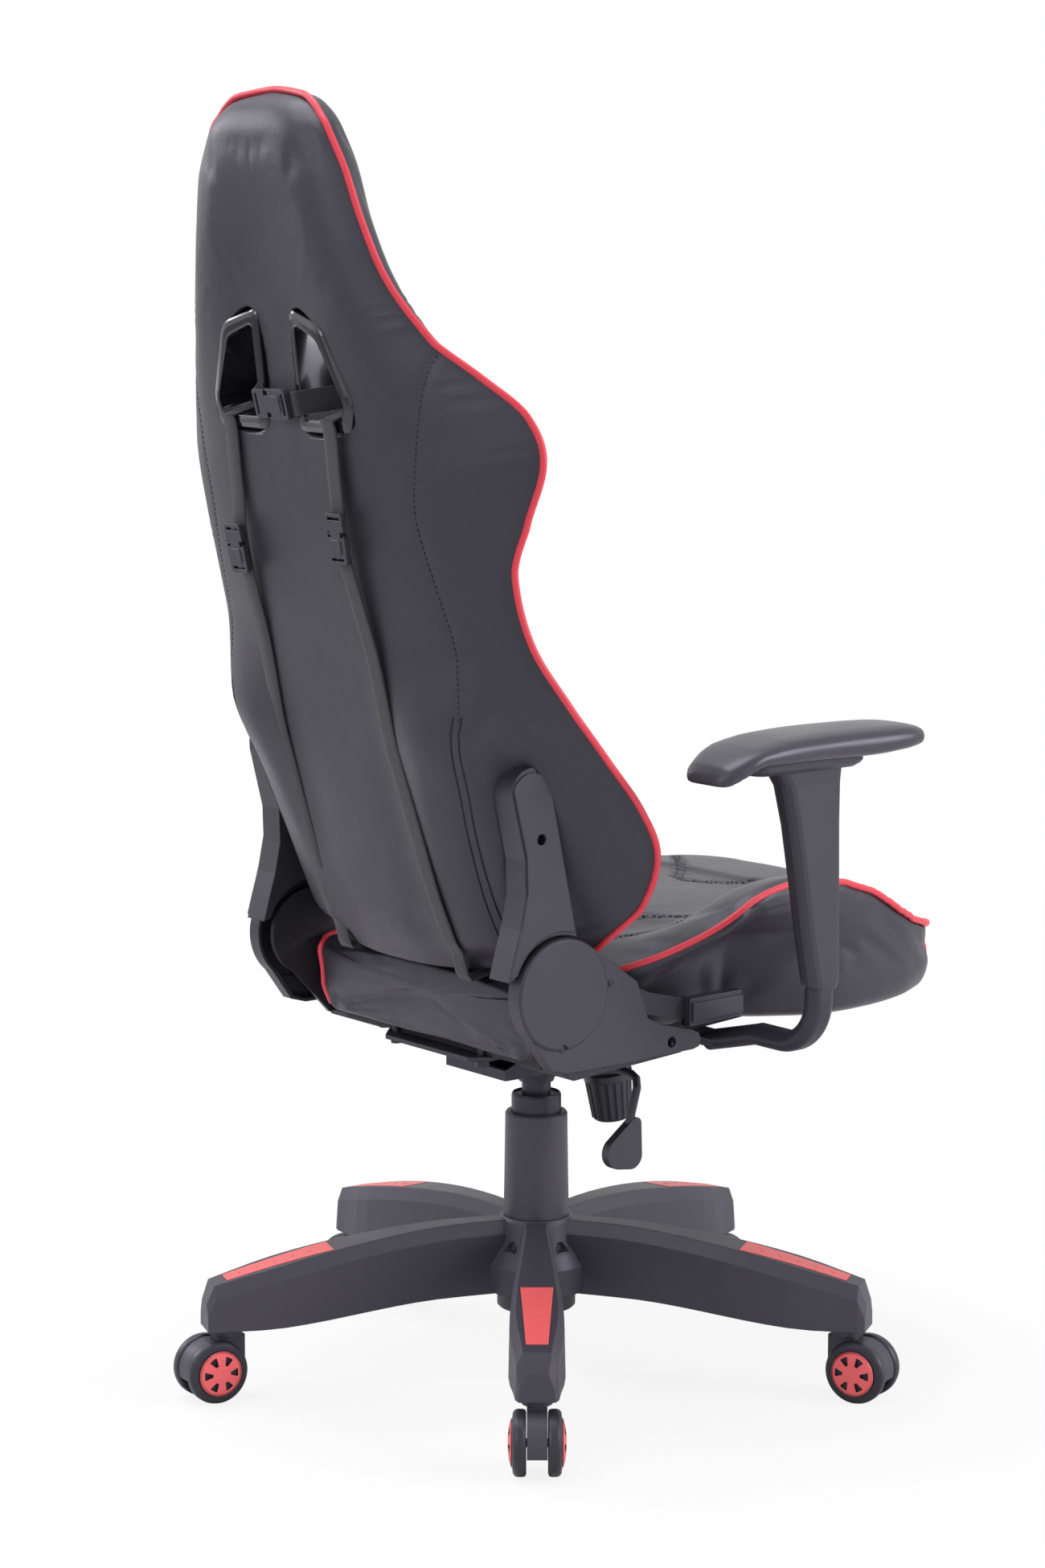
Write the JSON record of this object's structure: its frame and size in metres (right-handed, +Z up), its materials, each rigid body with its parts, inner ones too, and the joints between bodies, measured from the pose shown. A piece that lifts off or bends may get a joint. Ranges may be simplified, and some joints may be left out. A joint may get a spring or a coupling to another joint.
{
  "type": "gaming chair",
  "caption": "High-backed gaming chair with a castor star base, gas lift, tilting bucket seat, reclining winged backrest with two harness openings, pillows and height-adjustable arms.",
  "frame": {"origin": "on the floor under the column's axis", "axes": "+Z up, -Y the way the sitter faces, -X the sitter's right"},
  "size_m": [0.7184, 0.7099, 1.2224],
  "materials": {
    "base_plastic": "moulded nylon, fine texture",
    "cover_plastic": "moulded, satin",
    "wheel_plastic": "moulded nylon with red hub cap",
    "gloss_black": "gloss",
    "red_plastic": "satin",
    "black_metal": "powder coat",
    "steel": "zinc plated",
    "board": "board under black lining cloth",
    "leather_black": "grained black PU leather with red piping",
    "pad_pu": "soft skinned foam",
    "webbing": "woven webbing"
  },
  "bodies": {
    "base": {"star_base": "base_plastic", "base_inserts": "red_plastic", "column_tube": "black_metal", "guide_bush": "base_plastic", "column_sleeve": "base_plastic", "thrust_bearing": "steel"},
    "spindle": {"piston_rod": "steel"},
    "lift": {"gas_cylinder": "black_metal", "mech_housing": "black_metal", "tilt_axle": "steel", "tilt_spring": "steel"},
    "knob": {"tension_knob": "cover_plastic"},
    "latch": {"tilt_latch": "steel"},
    "lever": {"lift_lever": "black_metal", "lever_paddle": "cover_plastic"},
    "seat": {"seat_plate": "black_metal", "seat_board": "board", "seat_bolts": "steel", "seat_cushion": "leather_black", "arm_bar_r": "black_metal", "arm_bar_l": "black_metal", "hinge_plate_r": "black_metal", "hinge_plate_l": "black_metal", "hinge_cover_r": "cover_plastic", "hinge_cover_l": "cover_plastic"},
    "release": {"recline_lever": "black_metal", "recline_grip": "cover_plastic"},
    "back": {"back_bracket_r": "black_metal", "back_bracket_l": "black_metal", "bracket_cover_r": "cover_plastic", "bracket_cover_l": "cover_plastic", "back_frame": "black_metal", "back_cushion": "leather_black", "bezel_r": "gloss_black", "bezel_l": "gloss_black", "head_pillow": "leather_black", "lumbar_pillow": "leather_black", "back_straps": "webbing", "strap_buckles": "cover_plastic"},
    "arm_r": {"arm_sleeve_r": "cover_plastic", "arm_pad_r": "pad_pu"},
    "arm_l": {"arm_sleeve_l": "cover_plastic", "arm_pad_l": "pad_pu"},
    "button_r": {"arm_button_r": "cover_plastic"},
    "button_l": {"arm_button_l": "cover_plastic"},
    "castor_1": {"castor_1_fork": "base_plastic"},
    "wheel_1a": {"castor_1_wheel_a": "wheel_plastic"},
    "wheel_1b": {"castor_1_wheel_b": "wheel_plastic"},
    "castor_2": {"castor_2_fork": "base_plastic"},
    "wheel_2a": {"castor_2_wheel_a": "wheel_plastic"},
    "wheel_2b": {"castor_2_wheel_b": "wheel_plastic"},
    "castor_3": {"castor_3_fork": "base_plastic"},
    "wheel_3a": {"castor_3_wheel_a": "wheel_plastic"},
    "wheel_3b": {"castor_3_wheel_b": "wheel_plastic"},
    "castor_4": {"castor_4_fork": "base_plastic"},
    "wheel_4a": {"castor_4_wheel_a": "wheel_plastic"},
    "wheel_4b": {"castor_4_wheel_b": "wheel_plastic"},
    "castor_5": {"castor_5_fork": "base_plastic"},
    "wheel_5a": {"castor_5_wheel_a": "wheel_plastic"},
    "wheel_5b": {"castor_5_wheel_b": "wheel_plastic"}
  },
  "joints": [
    {"name": "seat_swivel", "type": "hinge", "parent": "base", "child": "spindle", "pos_m": [0, 0, 0.2], "axis": [0, 0, 1], "continuous": true},
    {"name": "seat_lift", "type": "slide", "parent": "spindle", "child": "lift", "axis": [0, 0, 1], "range_m": [0, 0.08]},
    {"name": "tension_turn", "type": "hinge", "parent": "lift", "child": "knob", "pos_m": [0, -0.086, 0.302], "axis": [0, 0.1392, 0.9903], "continuous": true},
    {"name": "tilt_lock_slide", "type": "slide", "parent": "lift", "child": "latch", "axis": [1, 0, 0], "range_m": [0, 0.01]},
    {"name": "lift_lever_pull", "type": "hinge", "parent": "latch", "child": "lever", "pos_m": [-0.046, -0.02, 0.313], "axis": [0, 1, 0], "range_deg": [0, 8], "stiffness_Nm_per_rad": 1.5, "springref_deg": -14.32},
    {"name": "seat_tilt", "type": "hinge", "parent": "lift", "child": "seat", "pos_m": [0, 0.01, 0.322], "axis": [-1, 0, 0], "range_deg": [0, 12], "stiffness_Nm_per_rad": 250, "springref_deg": -11.46},
    {"name": "recline_lever_pull", "type": "hinge", "parent": "seat", "child": "release", "pos_m": [-0.201, 0.051, 0.402], "axis": [-1, 0, 0], "range_deg": [0, 20], "stiffness_Nm_per_rad": 0.8, "springref_deg": -17.19},
    {"name": "back_recline", "type": "hinge", "parent": "seat", "child": "back", "pos_m": [0, 0.137, 0.41992], "axis": [-1, 0, 0], "range_deg": [-6, 60]},
    {"name": "arm_height_r", "type": "slide", "parent": "seat", "child": "arm_r", "axis": [0, 0, 1], "range_m": [0, 0.07]},
    {"name": "arm_button_r_press", "type": "slide", "parent": "arm_r", "child": "button_r", "axis": [-1, 0, 0], "range_m": [0, 0.0025], "stiffness_N_per_m": 400, "springref_m": -0.002},
    {"name": "arm_height_l", "type": "slide", "parent": "seat", "child": "arm_l", "axis": [0, 0, 1], "range_m": [0, 0.07]},
    {"name": "arm_button_l_press", "type": "slide", "parent": "arm_l", "child": "button_l", "axis": [1, 0, 0], "range_m": [0, 0.0025], "stiffness_N_per_m": 400, "springref_m": -0.002},
    {"name": "castor_1_swivel", "type": "hinge", "parent": "base", "child": "castor_1", "pos_m": [-0.24104, 0.19173, 0.08], "axis": [0, 0, 1], "continuous": true},
    {"name": "wheel_1a_roll", "type": "hinge", "parent": "castor_1", "child": "wheel_1a", "pos_m": [-0.25513, 0.20294, 0.03], "axis": [-0.6225, -0.7826, 0], "continuous": true},
    {"name": "wheel_1b_roll", "type": "hinge", "parent": "castor_1", "child": "wheel_1b", "pos_m": [-0.25513, 0.20294, 0.03], "axis": [-0.6225, -0.7826, 0], "continuous": true},
    {"name": "castor_2_swivel", "type": "hinge", "parent": "base", "child": "castor_2", "pos_m": [-0.25684, -0.17, 0.08], "axis": [0, 0, 1], "continuous": true},
    {"name": "wheel_2a_roll", "type": "hinge", "parent": "castor_2", "child": "wheel_2a", "pos_m": [-0.27358, -0.17659, 0.03], "axis": [0.3665, -0.9304, 0], "continuous": true},
    {"name": "wheel_2b_roll", "type": "hinge", "parent": "castor_2", "child": "wheel_2b", "pos_m": [-0.27358, -0.17659, 0.03], "axis": [0.3665, -0.9304, 0], "continuous": true},
    {"name": "castor_3_swivel", "type": "hinge", "parent": "base", "child": "castor_3", "pos_m": [0.08231, -0.2968, 0.08], "axis": [0, 0, 1], "continuous": true},
    {"name": "wheel_3a_roll", "type": "hinge", "parent": "castor_3", "child": "wheel_3a", "pos_m": [0.07615, -0.31371, 0.03], "axis": [0.9397, -0.342, 0], "continuous": true},
    {"name": "wheel_3b_roll", "type": "hinge", "parent": "castor_3", "child": "wheel_3b", "pos_m": [0.07615, -0.31371, 0.03], "axis": [0.9397, -0.342, 0], "continuous": true},
    {"name": "castor_4_swivel", "type": "hinge", "parent": "base", "child": "castor_4", "pos_m": [0.30771, -0.01344, 0.08], "axis": [0, 0, 1], "continuous": true},
    {"name": "wheel_4a_roll", "type": "hinge", "parent": "castor_4", "child": "wheel_4a", "pos_m": [0.3215, -0.00186, 0.03], "axis": [-0.6428, 0.766, 0], "continuous": true},
    {"name": "wheel_4b_roll", "type": "hinge", "parent": "castor_4", "child": "wheel_4b", "pos_m": [0.3215, -0.00186, 0.03], "axis": [-0.6428, 0.766, 0], "continuous": true},
    {"name": "castor_5_swivel", "type": "hinge", "parent": "base", "child": "castor_5", "pos_m": [0.10786, 0.2885, 0.08], "axis": [0, 0, 1], "continuous": true},
    {"name": "wheel_5a_roll", "type": "hinge", "parent": "castor_5", "child": "wheel_5a", "pos_m": [0.11052, 0.3063, 0.03], "axis": [-0.989, 0.1478, 0], "continuous": true},
    {"name": "wheel_5b_roll", "type": "hinge", "parent": "castor_5", "child": "wheel_5b", "pos_m": [0.11052, 0.3063, 0.03], "axis": [-0.989, 0.1478, 0], "continuous": true}
  ]
}
